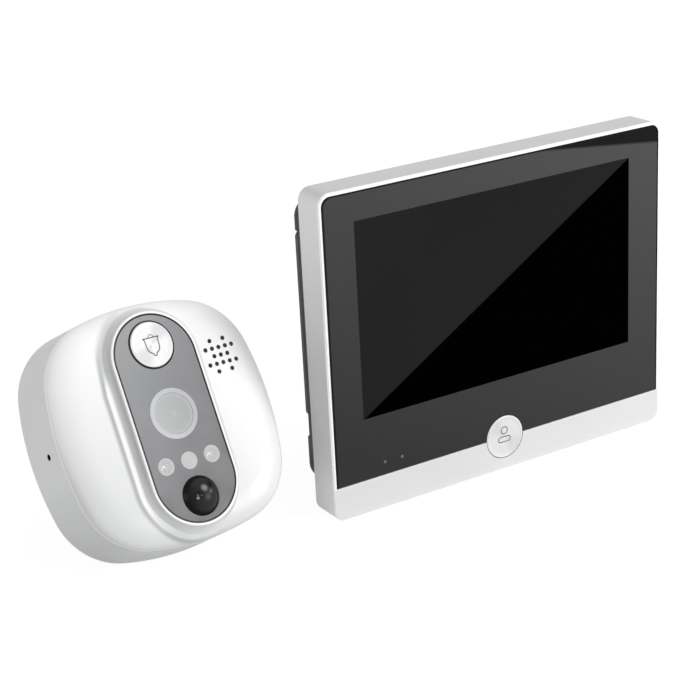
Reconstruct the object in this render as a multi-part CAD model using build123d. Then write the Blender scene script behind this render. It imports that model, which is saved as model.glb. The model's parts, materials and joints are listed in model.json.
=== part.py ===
from build123d import *
import os
from math import asin, atan2, cos, degrees, hypot, pi, radians, sin

# A two-piece video doorbell: an indoor monitor that stands upright, and the outdoor door
# station beside it, lying back on its rear edge and on the end of its mounting tube.
# Each unit is modelled face-on in its own frame: x to the right, y up, z out of its face.
# The row frame has x to the right, y away from the viewer and z up, with its origin at the
# centre of the monitor's bottom face. All sizes are in millimetres.

# Clearances
fit_gap = 0.1            # beside a fixed piece in its pocket
slip_gap = 0.2           # beside a piece that slides
bore_gap = 0.05          # round a shaft or screw in its hole
button_gap = 0.15        # round a button, and in front of its flange
same_height = 1e-4       # edges this close to a height lie at it
cutter_length = 6.0      # of the cutters for the sound holes in the side walls

# Monitor frame: a silver tray with a plain strip under the glass
frame_width = 116.2
frame_top = 42.2         # above the middle of the glass
frame_bottom = 51.0      # below the middle of the glass
frame_depth = 10.25
frame_corner = 3.6
frame_wall = 1.6
frame_bevel = 0.35
frame_rear_bevel = 0.3
rim_proud = 0.25         # the frame's front edge stands in front of the glass
rim_width = 1.05         # the thin frame beside and above the glass
shelf_thickness = 1.2

# Glass and display
glass_thickness = 1.1
glass_corner = 2.8
strip_height = 10.0      # of the plain strip under the glass
adhesive_thickness = 0.2
adhesive_inset = 0.6
module_inset = 5.35      # beside the display module, in from the frame
module_drop = 3.56       # of the module's top under the frame's top
module_reach = 28.56     # of the module below the middle of the glass
module_thickness = 2.9
module_clearance = 0.6
active_inset_x = 5.95    # the lit area in from the module's edge
active_inset_y = 5.52    # together they leave 93.6 by 56.16, a 4.3 inch display
screen_x = -0.5
panel_border = 0.9       # polariser beyond the lit area
panel_thickness = 0.95

# Button on the monitor
view_rise = 0.1          # of its middle above the glass's lower edge
view_radius = 6.4
view_proud = 0.4
view_flange = 1.0
view_flange_thickness = 0.65
dish_depth = 0.15
dish_slope = 0.8
dish_land = 0.15         # between the chamfer and the dish
button_edge = 0.3
view_travel = 0.6
plunger_radius = 1.4
plunger_height = 1.1
plunger_proud = 0.4
switch_size = 6.0
low_switch_height = 1.4
button_board_thickness = 0.8
button_board_right = 16.0
button_board_beside = 2.0    # beyond the outer light
button_board_above = 2.8     # above the lights
button_board_below = 7.5     # below the middle of the button
button_post_radius = 1.8
button_post_inset = 3.0
light_inset = 17.1       # of the outer light from the frame's left side
light_pitch = 5.7
light_rise = 3.7         # above the glass's lower edge
light_radius = 0.45
light_sink = 0.05

# Dark housing behind the frame
housing_depth = 18.2     # from the glass to the wall
housing_inset = 2.8      # beside the housing, in from the frame
housing_drop = 4.8       # of its top under the frame's top
housing_rise = 5.7       # of its bottom above the frame's bottom
housing_corner = 5.5
housing_draft = 1.5      # degrees
housing_round = 1.2
housing_wall = 1.8
lid_thickness = 1.5
lid_sink = 0.2
housing_screw_inset = 12.1
housing_screw_rise = 12.4
grille_slots = 9
grille_pitch = 2.6
slot_width = 1.2
slot_length = 4.6

# Wall bracket in the housing's back, and the recess that it slides in
bracket_inset = 0.3      # beside the bracket, in from the housing's back
bracket_thickness = 1.5
bracket_drop = 9.6       # of its top under the housing's top
bracket_rise = 19.7      # of its bottom above the housing's bottom
bracket_corner = 1.5
bracket_travel = 6.0
bracket_depth_gap = 0.2
recess_head = 0.6
bore_y = 2.0
bracket_bore = 7.25
door_hole_radius = 1.75
door_hole_span_x = 60.0
door_hole_span_y = 32.0
tube_hole_radius = 1.6
tube_hole_span = 24.0
hook_width = 7.0
hook_thickness = 1.6
hook_lip = 3.4
hook_inset = 20.1        # of the hooks' middle from the frame's side
hook_heights = (15.0, -13.0)

# Inside the monitor
board_thickness = 1.0
board_inset = 8.1        # beside the board, in from the frame
board_drop = 11.2        # of its top under the frame's top
board_rise = 28.0        # of its bottom above the frame's bottom
board_lift = 8.2         # of the board's front face from the wall
board_post_radius = 2.4
board_post_inset = 4.0
small_screw_radius = 0.8
small_head_radius = 1.7
small_head_height = 0.9
battery_beside = 10.0    # in from the board's screws
battery_above = 4.0      # in from the board's top and bottom
battery_behind = 1.2     # from the battery back to the board
battery_x = -4.0
battery_roundness = 0.4  # of the thickness, its long edges' radius
shield_size = (17.0, 20.0, 1.4)
shield_bevel = 0.35
shield_middle = (-22.0, 3.0)
socket_size = (13.0, 5.0, 3.0)
socket_slot = (10.6, 1.9, 1.8)
plug_window = (17.0, 9.0)
usb_size = (7.2, 8.9, 3.2)
usb_wall = 0.35
usb_blade = (5.4, 6.2)   # reach and width of the contact blade
usb_y = 9.5
card_size = (14.0, 12.4, 1.7)
card_wall = 0.3
card_y = -6.0
power_size = (4.2, 8.6, 3.0)
power_y = 20.5
power_knob = (1.8, 3.2, 1.3)     # beyond the switch body, along the slot, across it
power_travel = 2.0
port_gap = 0.25
speaker_size = (28.0, 7.4, 3.8)
speaker_round = 2.4
microphone_radius = 2.0
microphone_height = 1.6
microphone_inset = 28.1  # from the frame's right side
sound_hole = 0.6

# Door station: plan outline of eight tangent arcs, cover and base
station_half_width = 31.75
station_half_height = 32.25
station_y = -1.3         # of the outline's middle, below the camera
side_bow = 78.5          # radius of the long side arcs
end_bow = 71.7           # radius of the top and bottom arcs
corner_bow = 18.65
seam_depth = 5.5         # from the face panel back to the joint between cover and base
station_depth = 23.0
base_flare = 0.75        # the base is this much wider at its back
base_round = 0.5
seam_bevel = 0.35        # round the base's front edge
station_wall = 1.8
crown_rise = 3.3         # of the cover's front above the joint
crown_run = 7.5          # width of its soft shoulder
crown_steps = 6
cover_wall = 1.6
tongue_height = 0.8
tongue_wall = 1.0

# Raised surround of the face panel
panel_half_width = 11.7
panel_top = 26.9
panel_bottom = -29.15
panel_thick = 1.5
panel_gap = 0.2          # a fine dark line round the panel
rim_height = 0.15
rim_land = 0.9
rim_round = 0.4
cove_run = 3.6
cove_drop = 2.85
cove_steps = 4
end_slope = 0.5
skirt_depth = 1.6
ledge = 0.9

# Openings of the face panel
bell_y = 18.85
bell_radius = 6.1
bell_hole = 6.4
bell_proud = 0.35
bell_flange = 0.5
bell_flange_thickness = 0.85
bell_travel = 0.6
camera_hole = 6.85
ring_width = 1.35
camera_flange = 0.8
flange_thickness = 0.6
ring_lip = 0.6
window_sink = 0.1
window_seat = 0.15       # of the window's back in front of the panel's back
lamp_x = 6.9
lamp_y = -12.8
lamp_hole = 2.4
small_flange = 0.6
dome_y = -22.4
dome_hole = 5.3
dome_height = 2.9
dome_wall = 0.8
dome_flange = 0.5
grid_x = 20.05
grid_y = 11.9
grid_pitch_x = 2.05
grid_pitch_y = 2.13
grid_hole = 0.62
side_hole_y = -1.2
side_hole_depth = 11.4
side_hole_radius = 0.8

# Inside the door station
station_board_depth = 9.0
station_board_thickness = 1.2
station_board_inset = 4.0
post_inset = 5.1         # of the screw posts, in from the rounded corners
cover_post_radius = 1.9
base_post_radius = 3.6
screw_radius = 1.0
screw_hole = 1.35
screw_head_radius = 2.2
screw_head_height = 1.6
screw_head_bevel = 0.4
screw_sink = 5.0
screw_bite = 4.0
camera_block = (9.0, 9.0, 2.8)
barrel_radius = 4.2
barrel_step = 0.4
barrel_gap = 0.5
lens_radius = 3.1
lens_depth = 0.8
lens_bulge = 0.5
led_radius = 1.5
led_length = 4.2
led_flange = 0.35
led_gap = 0.3
leg_radius = 0.25
leg_spread = 1.27
can_radius = 4.1
can_height = 3.2
can_gap = 0.6
can_rim = 0.5
can_legs = 3
guide_radius = 1.3
chip_size = 2.4
chip_height = 0.9
round_speaker_radius = 6.5
round_speaker_height = 3.4
magnet_radius = 4.0
speaker_gap = 0.8
collar_wall = 0.8
boot_radius = 3.0
boot_length = 1.9
tube_radius = 7.0
tube_bore = 5.2
tube_length = 46.7       # behind the base
tube_neck = 7.6          # where it passes through the base
tube_flange = 9.0
tube_flange_thickness = 1.5
tube_bevel = 0.6
gasket_thickness = 1.0
gasket_sink = 0.5
gasket_inset = 5.0
gasket_hole = 12.0

# Where the door station lies
station_x = -99.55
station_back = 8.7       # behind the front of the monitor's glass
station_yaw = 5.1        # degrees, turned towards the monitor
station_roll = 1.8       # degrees, rolled along its curved lower edge

# Worked-out places on the monitor, in its own frame
frame_back = rim_proud - frame_depth
glass_y = rim_proud - frame_depth / 2
glass_half_width = frame_width / 2 - rim_width
glass_top = frame_top - rim_width
glass_bottom = frame_bottom - strip_height
module_width = frame_width - 2 * module_inset
module_height = frame_top - module_drop + module_reach
screen_y = frame_top - module_drop - module_height / 2
active_width = module_width - 2 * active_inset_x
active_height = module_height - 2 * active_inset_y
view_y = view_rise - glass_bottom
light_y = light_rise - glass_bottom
light_x = (light_inset - frame_width / 2, light_inset + light_pitch - frame_width / 2)
button_board_left = light_x[0] - button_board_beside
button_board_top = light_y + button_board_above
button_board_bottom = view_y - button_board_below
shelf_front = -glass_thickness - adhesive_thickness
shelf_back = shelf_front - shelf_thickness
housing_half_width = frame_width / 2 - housing_inset
housing_top = frame_top - housing_drop
housing_bottom = frame_bottom - housing_rise
housing_screw_x = frame_width / 2 - housing_screw_inset
housing_screw_y = housing_screw_rise - frame_bottom
bracket_top = housing_top - bracket_drop
bracket_bottom = bracket_rise - housing_bottom
hook_x = frame_width / 2 - hook_inset
board_front = board_lift - housing_depth
board_back = board_front - board_thickness
battery_front = shelf_front - module_thickness - fit_gap
board_half_width = frame_width / 2 - board_inset
board_top = frame_top - board_drop
board_bottom = board_rise - frame_bottom
board_post_x = board_half_width - board_post_inset
board_post_y = (board_bottom + board_post_inset, board_top - board_post_inset)
battery_thickness = battery_front - battery_behind - board_front
battery_size = (2 * (board_post_x - battery_beside),
                board_top - board_bottom - 2 * battery_above, battery_thickness)
battery_middle = (battery_x, (board_top + board_bottom) / 2)
microphone_x = frame_width / 2 - microphone_inset
lid_back = frame_back + lid_sink
lid_front = lid_back + lid_thickness
recess_floor = -housing_depth + bracket_thickness + bracket_depth_gap + fit_gap
recess_inner = recess_floor + housing_wall
recess_top = bracket_top + recess_head
recess_bottom = bracket_bottom - bracket_travel - slip_gap
speaker_y = (recess_bottom - housing_bottom) / 2 + slip_gap
bracket_back = -housing_depth + fit_gap
bracket_front = bracket_back + bracket_thickness
view_hole = view_radius + button_gap
draft_run = housing_depth + lid_back
inner_wall_x = housing_half_width - housing_wall - draft_run * sin(radians(housing_draft))
side_wall_x = housing_half_width - draft_run / 2 * sin(radians(housing_draft))
port_mouth = side_wall_x - 2 * port_gap
power_x = inner_wall_x - port_gap

# Worked-out places on the door station, in its own frame
seam = -seam_depth
station_rear = -station_depth
base_floor = station_rear + station_wall
cavity_top = seam + crown_rise - cover_wall
station_board_front = -station_board_depth
station_board_back = station_board_front - station_board_thickness
flange_front = -panel_thick
window_back = flange_front + window_seat


def block(x0, x1, y0, y1, z0, z1):
    """A box between two corners."""
    middle = Pos((x0 + x1) / 2, (y0 + y1) / 2, (z0 + z1) / 2)
    return middle * Box(abs(x1 - x0), abs(y1 - y0), abs(z1 - z0))


def brick(x, y, size, z0, upward=True):
    """A box of a given width, height and thickness that stands on the plane z0."""
    z1 = z0 + size[2] if upward else z0 - size[2]
    return block(x - size[0] / 2, x + size[0] / 2, y - size[1] / 2, y + size[1] / 2, z0, z1)


def disc(x, y, radius, z0, z1):
    """A round bar along z between two heights."""
    return Pos(x, y, (z0 + z1) / 2) * Cylinder(radius, abs(z1 - z0))


def ring(x, y, outer, inner, z0, z1):
    return disc(x, y, outer, z0, z1) - disc(x, y, inner, z0, z1)


def slab(face, z0, z1):
    """A flat outline on the xy plane made solid between two heights."""
    return extrude(Pos(0, 0, min(z0, z1)) * face, amount=abs(z1 - z0), dir=(0, 0, 1))


def rounded(x0, x1, y0, y1, radius):
    """A rectangle with round corners."""
    return Pos((x0 + x1) / 2, (y0 + y1) / 2) * RectangleRounded(x1 - x0, y1 - y0, radius)


def stadium(half_width, low, high):
    """An upright slot outline from low to high."""
    return Pos(0, (low + high) / 2) * SlotOverall(high - low, 2 * half_width, rotation=90)


def dished(y, radius, top):
    """The shallow hollow of a round button, with a sloping edge."""
    return Pos(0, y, top - dish_depth / 2) * Cone(radius - dish_slope, radius, dish_depth)


def edges_at(solid, height):
    """The edges that lie flat at one height."""
    def flat(edge):
        box = edge.bounding_box()
        return max(abs(box.min.Z - height), abs(box.max.Z - height)) < same_height
    return solid.edges().filter_by(flat)


# Monitor

def glass_face(grow):
    """The glass outline: round corners at the top, square ones at the strip."""
    half = glass_half_width + grow
    low = -glass_bottom - grow
    high = glass_top + grow
    plain = Pos(0, (low + high) / 2) * Rectangle(2 * half, high - low)
    top_corners = plain.vertices().group_by(Axis.Y)[-1]
    return fillet(top_corners, glass_corner + grow)


def module_opening(grow):
    """The display module's outline."""
    half_width = module_width / 2 + grow
    half_height = module_height / 2 + grow
    return (screen_x - half_width, screen_x + half_width,
            screen_y - half_height, screen_y + half_height)


def button_posts():
    """Where the posts behind the strip hold the button board."""
    y = button_board_bottom + button_post_inset
    left = button_board_left + button_post_inset
    right = button_board_right - button_post_inset
    return ((left, y), (right, y))


def monitor_front_frame():
    half = frame_width / 2
    outline = rounded(-half, half, -frame_bottom, frame_top, frame_corner)
    frame = slab(outline, frame_back, rim_proud)
    frame = chamfer(edges_at(frame, rim_proud), frame_bevel)
    frame = chamfer(edges_at(frame, frame_back), frame_rear_bevel)
    inner = rounded(-half + frame_wall, half - frame_wall, -frame_bottom + frame_wall,
                    frame_top - frame_wall, frame_corner - frame_wall)
    frame = frame - slab(inner, frame_back, shelf_back)
    frame = frame - slab(glass_face(fit_gap), shelf_front, rim_proud)
    frame = frame - block(*module_opening(module_clearance), shelf_back, shelf_front)
    frame = frame - disc(0, view_y, view_hole, shelf_back, rim_proud)
    for x in light_x:
        frame = frame - disc(x, light_y, light_radius + fit_gap, shelf_back, shelf_front)
    for x, y in button_posts():
        frame = frame + disc(x, y, button_post_radius, button_board_front, shelf_back)
    for x in (-housing_screw_x, housing_screw_x):
        post = ring(x, housing_screw_y, board_post_radius, screw_radius, lid_post, shelf_back)
        frame = frame + post
    sound = Pos(microphone_x, -frame_bottom, microphone_z) * Rot(90, 0, 0)
    return frame - sound * Cylinder(sound_hole, cutter_length)


def monitor_glass():
    glass = slab(glass_face(0), -glass_thickness, 0)
    glass = glass - disc(0, view_y, view_hole, -glass_thickness, 0)
    for x in light_x:
        glass = glass - disc(x, light_y, light_radius + bore_gap, -glass_thickness, 0)
    return glass


def glass_adhesive():
    tape = slab(glass_face(-adhesive_inset), shelf_front, -glass_thickness)
    tape = tape - block(*module_opening(module_clearance + fit_gap), shelf_front, -glass_thickness)
    tape = tape - disc(0, view_y, view_hole + adhesive_inset, shelf_front, -glass_thickness)
    for x in light_x:
        hole = light_radius + adhesive_inset
        tape = tape - disc(x, light_y, hole, shelf_front, -glass_thickness)
    return tape


def lcd_panel():
    size = (active_width + 2 * panel_border, active_height + 2 * panel_border, panel_thickness)
    return brick(screen_x, screen_y, size, shelf_front - bore_gap, upward=False)


def lcd_chassis():
    tray = block(*module_opening(0), shelf_front - module_thickness, shelf_front)
    width = active_width + 2 * panel_border + 2 * fit_gap
    height = active_height + 2 * panel_border + 2 * fit_gap
    pocket = (width, height, panel_thickness + bore_gap)
    tray = tray - brick(screen_x, screen_y, pocket, shelf_front, upward=False)
    return chamfer(edges_at(tray, shelf_front - module_thickness), frame_rear_bevel)


# Depths of the pieces behind the monitor's button
view_flange_front = shelf_back - button_gap
view_flange_back = view_flange_front - view_flange_thickness
view_stem_back = view_flange_back - view_travel - slip_gap
view_switch_front = view_stem_back - plunger_proud - view_travel + slip_gap
button_board_front = view_switch_front - low_switch_height
button_board_back = button_board_front - button_board_thickness
microphone_z = (shelf_back + lid_front) / 2
lid_post = lid_front + fit_gap


def push_button(y, radius, proud, flange, stem_back):
    """A dished round button with a flange that keeps it in, and the stem behind it."""
    front, back = flange[1], flange[2]
    cap = disc(0, y, radius, back, proud)
    cap = chamfer(edges_at(cap, proud), button_edge)
    cap = cap + disc(0, y, flange[0], back, front)
    cap = cap + disc(0, y, plunger_radius, stem_back, back)
    return cap - dished(y, radius - button_edge - dish_land, proud)


def switch_body(y, front, back, travel):
    """A square switch with the well that its plunger dips into."""
    half = switch_size / 2
    well = plunger_height - plunger_proud + travel + slip_gap
    body = block(-half, half, y - half, y + half, back, front)
    return body - disc(0, y, plunger_radius + bore_gap, front - well, front)


def view_button():
    flange = (view_radius + view_flange, view_flange_front, view_flange_back)
    return push_button(view_y, view_radius, view_proud, flange, view_stem_back)


def view_switch_plunger():
    return disc(0, view_y, plunger_radius, view_stem_back - plunger_height, view_stem_back)


def view_switch_body():
    top = view_stem_back - plunger_proud
    return switch_body(view_y, top, button_board_front, view_travel)


def button_board():
    return block(button_board_left, button_board_right, button_board_bottom, button_board_top,
                 button_board_back, button_board_front)


def indicator_light(x):
    """A thin light guide from the button board to the front of the glass."""
    guide = disc(x, light_y, light_radius, button_board_front, -light_sink)
    foot = disc(x, light_y, 2 * light_radius, button_board_front, shelf_back - slip_gap)
    return guide + foot


def housing_ports():
    """The side openings of the housing, cut where the board's ports are."""
    x0 = board_half_width - power_size[0]
    x1 = frame_width / 2
    grown = 2 * port_gap
    usb_z = board_back - usb_size[2] / 2
    card_z = board_back - card_size[2] / 2
    power_z = board_back - power_size[2] / 2
    usb = Pos((x0 + x1) / 2, usb_y, usb_z) * Box(x1 - x0, usb_size[1] + grown, usb_size[2] + grown)
    card = Pos((x0 + x1) / 2, card_y, card_z)
    card = card * Box(x1 - x0, card_size[1] + grown, card_size[2] + grown)
    slot = power_knob[1] + power_travel + grown
    middle = power_y - power_travel / 2
    power = Pos((x0 + x1) / 2, middle, power_z) * Box(x1 - x0, slot, power_knob[2] + grown)
    return (usb, card, power)


def housing_outline(grow):
    """The housing's outline where it leaves the frame."""
    half = housing_half_width + grow
    return rounded(-half, half, -housing_bottom - grow, housing_top + grow, housing_corner + grow)


def monitor_rear_housing():
    base = Pos(0, 0, lid_back) * housing_outline(0)
    bump = extrude(base, amount=draft_run, dir=(0, 0, -1), taper=housing_draft)
    bump = fillet(edges_at(bump, -housing_depth), housing_round)
    half = frame_width / 2 - frame_wall - fit_gap
    low = -frame_bottom + frame_wall + fit_gap
    high = frame_top - frame_wall - fit_gap
    lid = slab(rounded(-half, half, low, high, frame_corner - frame_wall - fit_gap),
               lid_back, lid_front)
    shell = bump + lid
    inward = -housing_wall - draft_run * sin(radians(housing_draft))
    shell = shell - slab(housing_outline(inward), -housing_depth + housing_wall, lid_front)
    wide = housing_half_width - housing_wall
    shell = shell + block(-wide, wide, recess_bottom - housing_wall, recess_top + housing_wall,
                          recess_floor, recess_inner)
    shell = shell - block(-frame_width / 2, frame_width / 2, recess_bottom, recess_top,
                          -housing_depth, recess_floor)
    for x in (-board_post_x, board_post_x):
        for y in board_post_y:
            post = ring(x, y, board_post_radius, small_screw_radius + bore_gap,
                        recess_inner, board_back)
            shell = shell + post
    for x in (-housing_screw_x, housing_screw_x):
        post = disc(x, housing_screw_y, screw_head_radius + housing_wall,
                    -housing_depth + housing_wall / 2, lid_post - fit_gap)
        shell = shell + post
        shell = shell - disc(x, housing_screw_y, screw_hole, -housing_depth, lid_front)
        shell = shell - disc(x, housing_screw_y, screw_head_radius + fit_gap,
                             -housing_depth, -housing_depth + screw_sink)
    for port in housing_ports():
        shell = shell - port
    for x in (-hook_x, hook_x):
        for y in hook_heights:
            shell = shell - hook_slot(x, y)
    half_window = plug_window[0] / 2
    shell = shell - block(-half_window, half_window, bore_y - plug_window[1] / 2,
                          bore_y + plug_window[1] / 2, recess_floor, recess_inner)
    for step in range(grille_slots):
        x = (step - (grille_slots - 1) / 2) * grille_pitch
        slot = stadium(slot_width / 2, -slot_length / 2, slot_length / 2)
        slot = Pos(x, speaker_y) * slot
        shell = shell - slab(slot, -housing_depth, -housing_depth + housing_wall)
    return shell


def hook_slot(x, y):
    """The slot that a bracket hook enters, with room for the bracket's travel below it."""
    half = hook_width / 2 + slip_gap
    top = y + hook_thickness + slip_gap
    bottom = y - bracket_travel - slip_gap
    return block(x - half, x + half, bottom, top, recess_floor, recess_inner)


def wall_bracket():
    half = housing_half_width - draft_run * sin(radians(housing_draft)) - bracket_inset
    plate = slab(rounded(-half, half, bracket_bottom, bracket_top, bracket_corner),
                 bracket_back, bracket_front)
    plate = plate - disc(0, bore_y, bracket_bore, bracket_back, bracket_front)
    for x in (-door_hole_span_x / 2, door_hole_span_x / 2):
        for y in (bore_y - door_hole_span_y / 2, bore_y + door_hole_span_y / 2):
            plate = plate - disc(x, y, door_hole_radius, bracket_back, bracket_front)
    for x in (-tube_hole_span / 2, tube_hole_span / 2):
        plate = plate - disc(x, bore_y, tube_hole_radius, bracket_back, bracket_front)
    lip_back = recess_inner + slip_gap
    lip_front = lip_back + hook_thickness
    for x in (-hook_x, hook_x):
        for y in hook_heights:
            left, right = x - hook_width / 2, x + hook_width / 2
            stem = block(left, right, y, y + hook_thickness, bracket_front, lip_front)
            lip = block(left, right, y, y + hook_thickness + hook_lip, lip_back, lip_front)
            plate = plate + stem + lip
    return plate


def housing_screws():
    """Two screws from the back of the housing into the frame's posts."""
    seat = -housing_depth + screw_sink
    return [screw(x, housing_screw_y, seat, shelf_back - screw_bite / 2)
            for x in (-housing_screw_x, housing_screw_x)]


def screw(x, y, seat, tip):
    """A screw with its head below the seat plane and its shank up to the tip."""
    head = disc(x, y, screw_head_radius, seat - screw_head_height, seat)
    head = chamfer(edges_at(head, seat - screw_head_height), screw_head_bevel)
    return head + disc(x, y, screw_radius - bore_gap, seat, tip)


def monitor_main_board():
    board = block(-board_half_width, board_half_width, board_bottom, board_top,
                  board_back, board_front)
    for x in (-board_post_x, board_post_x):
        for y in board_post_y:
            board = board - disc(x, y, small_screw_radius + bore_gap, board_back, board_front)
    return board


def board_screws():
    """Four small screws that hold the board to the housing's posts."""
    screws = []
    for x in (-board_post_x, board_post_x):
        for y in board_post_y:
            head = disc(x, y, small_head_radius, board_front, board_front + small_head_height)
            tip = recess_inner + slip_gap
            screws.append(head + disc(x, y, small_screw_radius, tip, board_front))
    return screws


def battery_pack():
    pack = brick(*battery_middle, battery_size, battery_front, upward=False)
    return fillet(pack.edges().filter_by(Axis.Y), battery_roundness * battery_thickness)


def processor_shield():
    can = brick(*shield_middle, shield_size, board_back, upward=False)
    return chamfer(edges_at(can, board_back - shield_size[2]), shield_bevel)


def ribbon_socket():
    """The connector that takes the ribbon cable from the door station."""
    body = brick(0, bore_y, socket_size, board_back, upward=False)
    mouth = board_back - socket_size[2]
    return body - brick(0, bore_y, socket_slot, mouth)


def side_shell(y, size, wall, mouth_x):
    """A metal port shell on the board's back, open towards the side of the monitor."""
    z0, z1 = board_back - size[2], board_back
    shell = block(mouth_x - size[0], mouth_x, y - size[1] / 2, y + size[1] / 2, z0, z1)
    inside = block(mouth_x - size[0] + 2 * wall, mouth_x, y - size[1] / 2 + wall,
                   y + size[1] / 2 - wall, z0 + wall, z1 - wall)
    return shell - inside


def usb_port():
    shell = side_shell(usb_y, usb_size, usb_wall, port_mouth)
    middle = board_back - usb_size[2] / 2
    back = port_mouth - usb_size[0]
    blade = block(back + usb_wall, back + usb_blade[0], usb_y - usb_blade[1] / 2,
                  usb_y + usb_blade[1] / 2, middle - usb_wall, middle + usb_wall)
    return shell + blade


def card_slot():
    return side_shell(card_y, card_size, card_wall, port_mouth)


def power_switch_body():
    """A small slide switch on the board, with the groove that its slider runs in."""
    body = block(power_x - power_size[0], power_x, power_y - power_travel / 2 - power_size[1] / 2,
                 power_y - power_travel / 2 + power_size[1] / 2,
                 board_back - power_size[2], board_back)
    half = (power_knob[1] + power_travel) / 2 + slip_gap
    middle = power_y - power_travel / 2
    groove_z = board_back - power_size[2] / 2
    groove = block(power_x - power_size[0] / 2, power_x, middle - half, middle + half,
                   groove_z - power_knob[2] / 2 - slip_gap, groove_z + power_knob[2] / 2 + slip_gap)
    return body - groove


def power_switch_slider():
    """The knob in its upper place, reaching out through the housing's side."""
    z = board_back - power_size[2] / 2
    inner = power_x - power_size[0] / 2 + slip_gap
    outer = side_wall_x + power_knob[0] / 2
    return block(inner, outer, power_y - power_knob[1] / 2, power_y + power_knob[1] / 2,
                 z - power_knob[2] / 2, z + power_knob[2] / 2)


def monitor_speaker():
    back = -housing_depth + housing_wall + fit_gap
    body = brick(0, speaker_y, speaker_size, back)
    return fillet(body.edges().filter_by(Axis.Z), speaker_round)


def monitor_microphone():
    """A round capsule behind the sound hole in the frame's underside."""
    seat = -frame_bottom + frame_wall + fit_gap
    turn = Pos(microphone_x, seat + microphone_height / 2, microphone_z) * Rot(90, 0, 0)
    return turn * Cylinder(microphone_radius, microphone_height)


# Door station

def station_outline(grow):
    """The plan outline, moved outwards by a distance: eight arcs, each tangent to the next."""
    side, end, corner = arc_centres()
    to_end = (corner - end).normalized()
    to_side = (corner - side).normalized()
    between = (to_end + to_side).normalized()
    radius = corner_bow + grow
    upper = corner + to_end * radius
    middle = corner + between * radius
    lower = corner + to_side * radius
    edges = []
    for sx, sy in ((1, 1), (-1, 1), (-1, -1), (1, -1)):
        quarter = [(point.X * sx, point.Y * sy + station_y) for point in (upper, middle, lower)]
        edges.append(ThreePointArc(*quarter))
    for sy in (1, -1):
        top = (0, sy * (station_half_height + grow) + station_y)
        left = (-upper.X, sy * upper.Y + station_y)
        edges.append(ThreePointArc(left, top, (upper.X, left[1])))
    for sx in (1, -1):
        outer = (sx * (station_half_width + grow), station_y)
        low = (sx * lower.X, station_y - lower.Y)
        edges.append(ThreePointArc(low, outer, (low[0], station_y + lower.Y)))
    return make_face(Wire(edges))


def arc_centres():
    """The centres of the right side's arc, the top arc and the corner arc between them."""
    side = Vector(station_half_width - side_bow, 0)
    end = Vector(0, station_half_height - end_bow)
    return side, end, arc_meeting(end, end_bow - corner_bow, side, side_bow - corner_bow)


def arc_meeting(first, first_reach, second, second_reach):
    """The point in the upper right at given distances from two centres."""
    apart = second - first
    span = apart.length
    along = (span ** 2 + first_reach ** 2 - second_reach ** 2) / (2 * span)
    aside = (first_reach ** 2 - along ** 2) ** 0.5
    direction = apart.normalized()
    across = Vector(direction.Y, -direction.X)
    return first + direction * along + across * aside


def crown(grow, run, rise):
    """The cover's front above the joint: a soft shoulder that ends in a flat top."""
    sections = []
    for step in range(crown_steps + 1):
        turn = pi / 2 * step / crown_steps
        face = station_outline(grow - run * (1 - cos(turn)))
        sections.append(Pos(0, 0, seam + rise * sin(turn)) * face)
    return loft(sections)


def cover_cavity():
    """The hollow of the cover: upright beside the base's tongue, and sloped above it."""
    step = seam + tongue_height + slip_gap
    inner = station_outline(-station_wall)
    narrow = Pos(0, 0, cavity_top) * station_outline(-station_wall - tongue_wall)
    return slab(inner, seam, step) + loft([Pos(0, 0, step) * inner, narrow], ruled=True)


def surround():
    """The raised surround of the face panel: a hollow curve at the sides, steep at the ends."""
    sections = []
    for step in range(cove_steps + 1):
        turn = pi / 2 * step / cove_steps
        aside = rim_land + cove_run * (1 - cos(turn))
        sections.append(surround_section(aside, rim_height - cove_drop * sin(turn)))
    raised = loft(sections)
    raised = fillet(edges_at(raised, rim_height), rim_round)
    foot_z = rim_height - cove_drop
    upper = surround_section(rim_land + cove_run, foot_z)
    lower = surround_section(rim_land + cove_run, foot_z - skirt_depth)
    return raised + loft([upper, lower], ruled=True)


def surround_section(aside, z):
    beyond = rim_land + end_slope * (rim_height - z)
    face = stadium(panel_half_width + aside, panel_bottom - beyond, panel_top + beyond)
    return Pos(0, 0, z) * face


def post_places():
    """The four screw posts, on the diagonals, just inside the rounded corners."""
    corner = arc_centres()[2]
    offset = (corner.length + corner_bow - post_inset) / hypot(1, 1)
    return [(sx * offset, station_y + sy * offset) for sx in (-1, 1) for sy in (-1, 1)]


def speaker_holes():
    """Rows of two, five, three, five and two holes on one grid."""
    rows = {2: (-1, 1), 1: (-2, -1, 0, 1, 2), 0: (-1, 0, 1), -1: (-2, -1, 0, 1, 2), -2: (-1, 1)}
    return [(grid_x + column * grid_pitch_x, grid_y + row * grid_pitch_y)
            for row, columns in rows.items() for column in columns]


def station_front_cover():
    cover = crown(0, crown_run, crown_rise) + surround()
    cover = cover - cover_cavity()
    for x, y in post_places():
        cover = cover + disc(x, y, cover_post_radius, station_board_front, cavity_top)
    collar = round_speaker_radius + fit_gap
    collar_back = seam - round_speaker_height / 2
    cover = cover + ring(grid_x, grid_y, collar + collar_wall, collar, collar_back, cavity_top)
    low, high = panel_bottom, panel_top
    cover = cover - slab(stadium(panel_half_width, low, high), flange_front, rim_height)
    cover = cover - slab(stadium(panel_half_width - ledge, low + ledge, high - ledge),
                         station_board_front, flange_front)
    for x, y in post_places():
        bite = station_board_front + screw_bite
        cover = cover - disc(x, y, screw_radius, station_board_front, bite)
    for x, y in speaker_holes():
        cover = cover - disc(x, y, grid_hole, seam, rim_height)
    return cover


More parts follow.
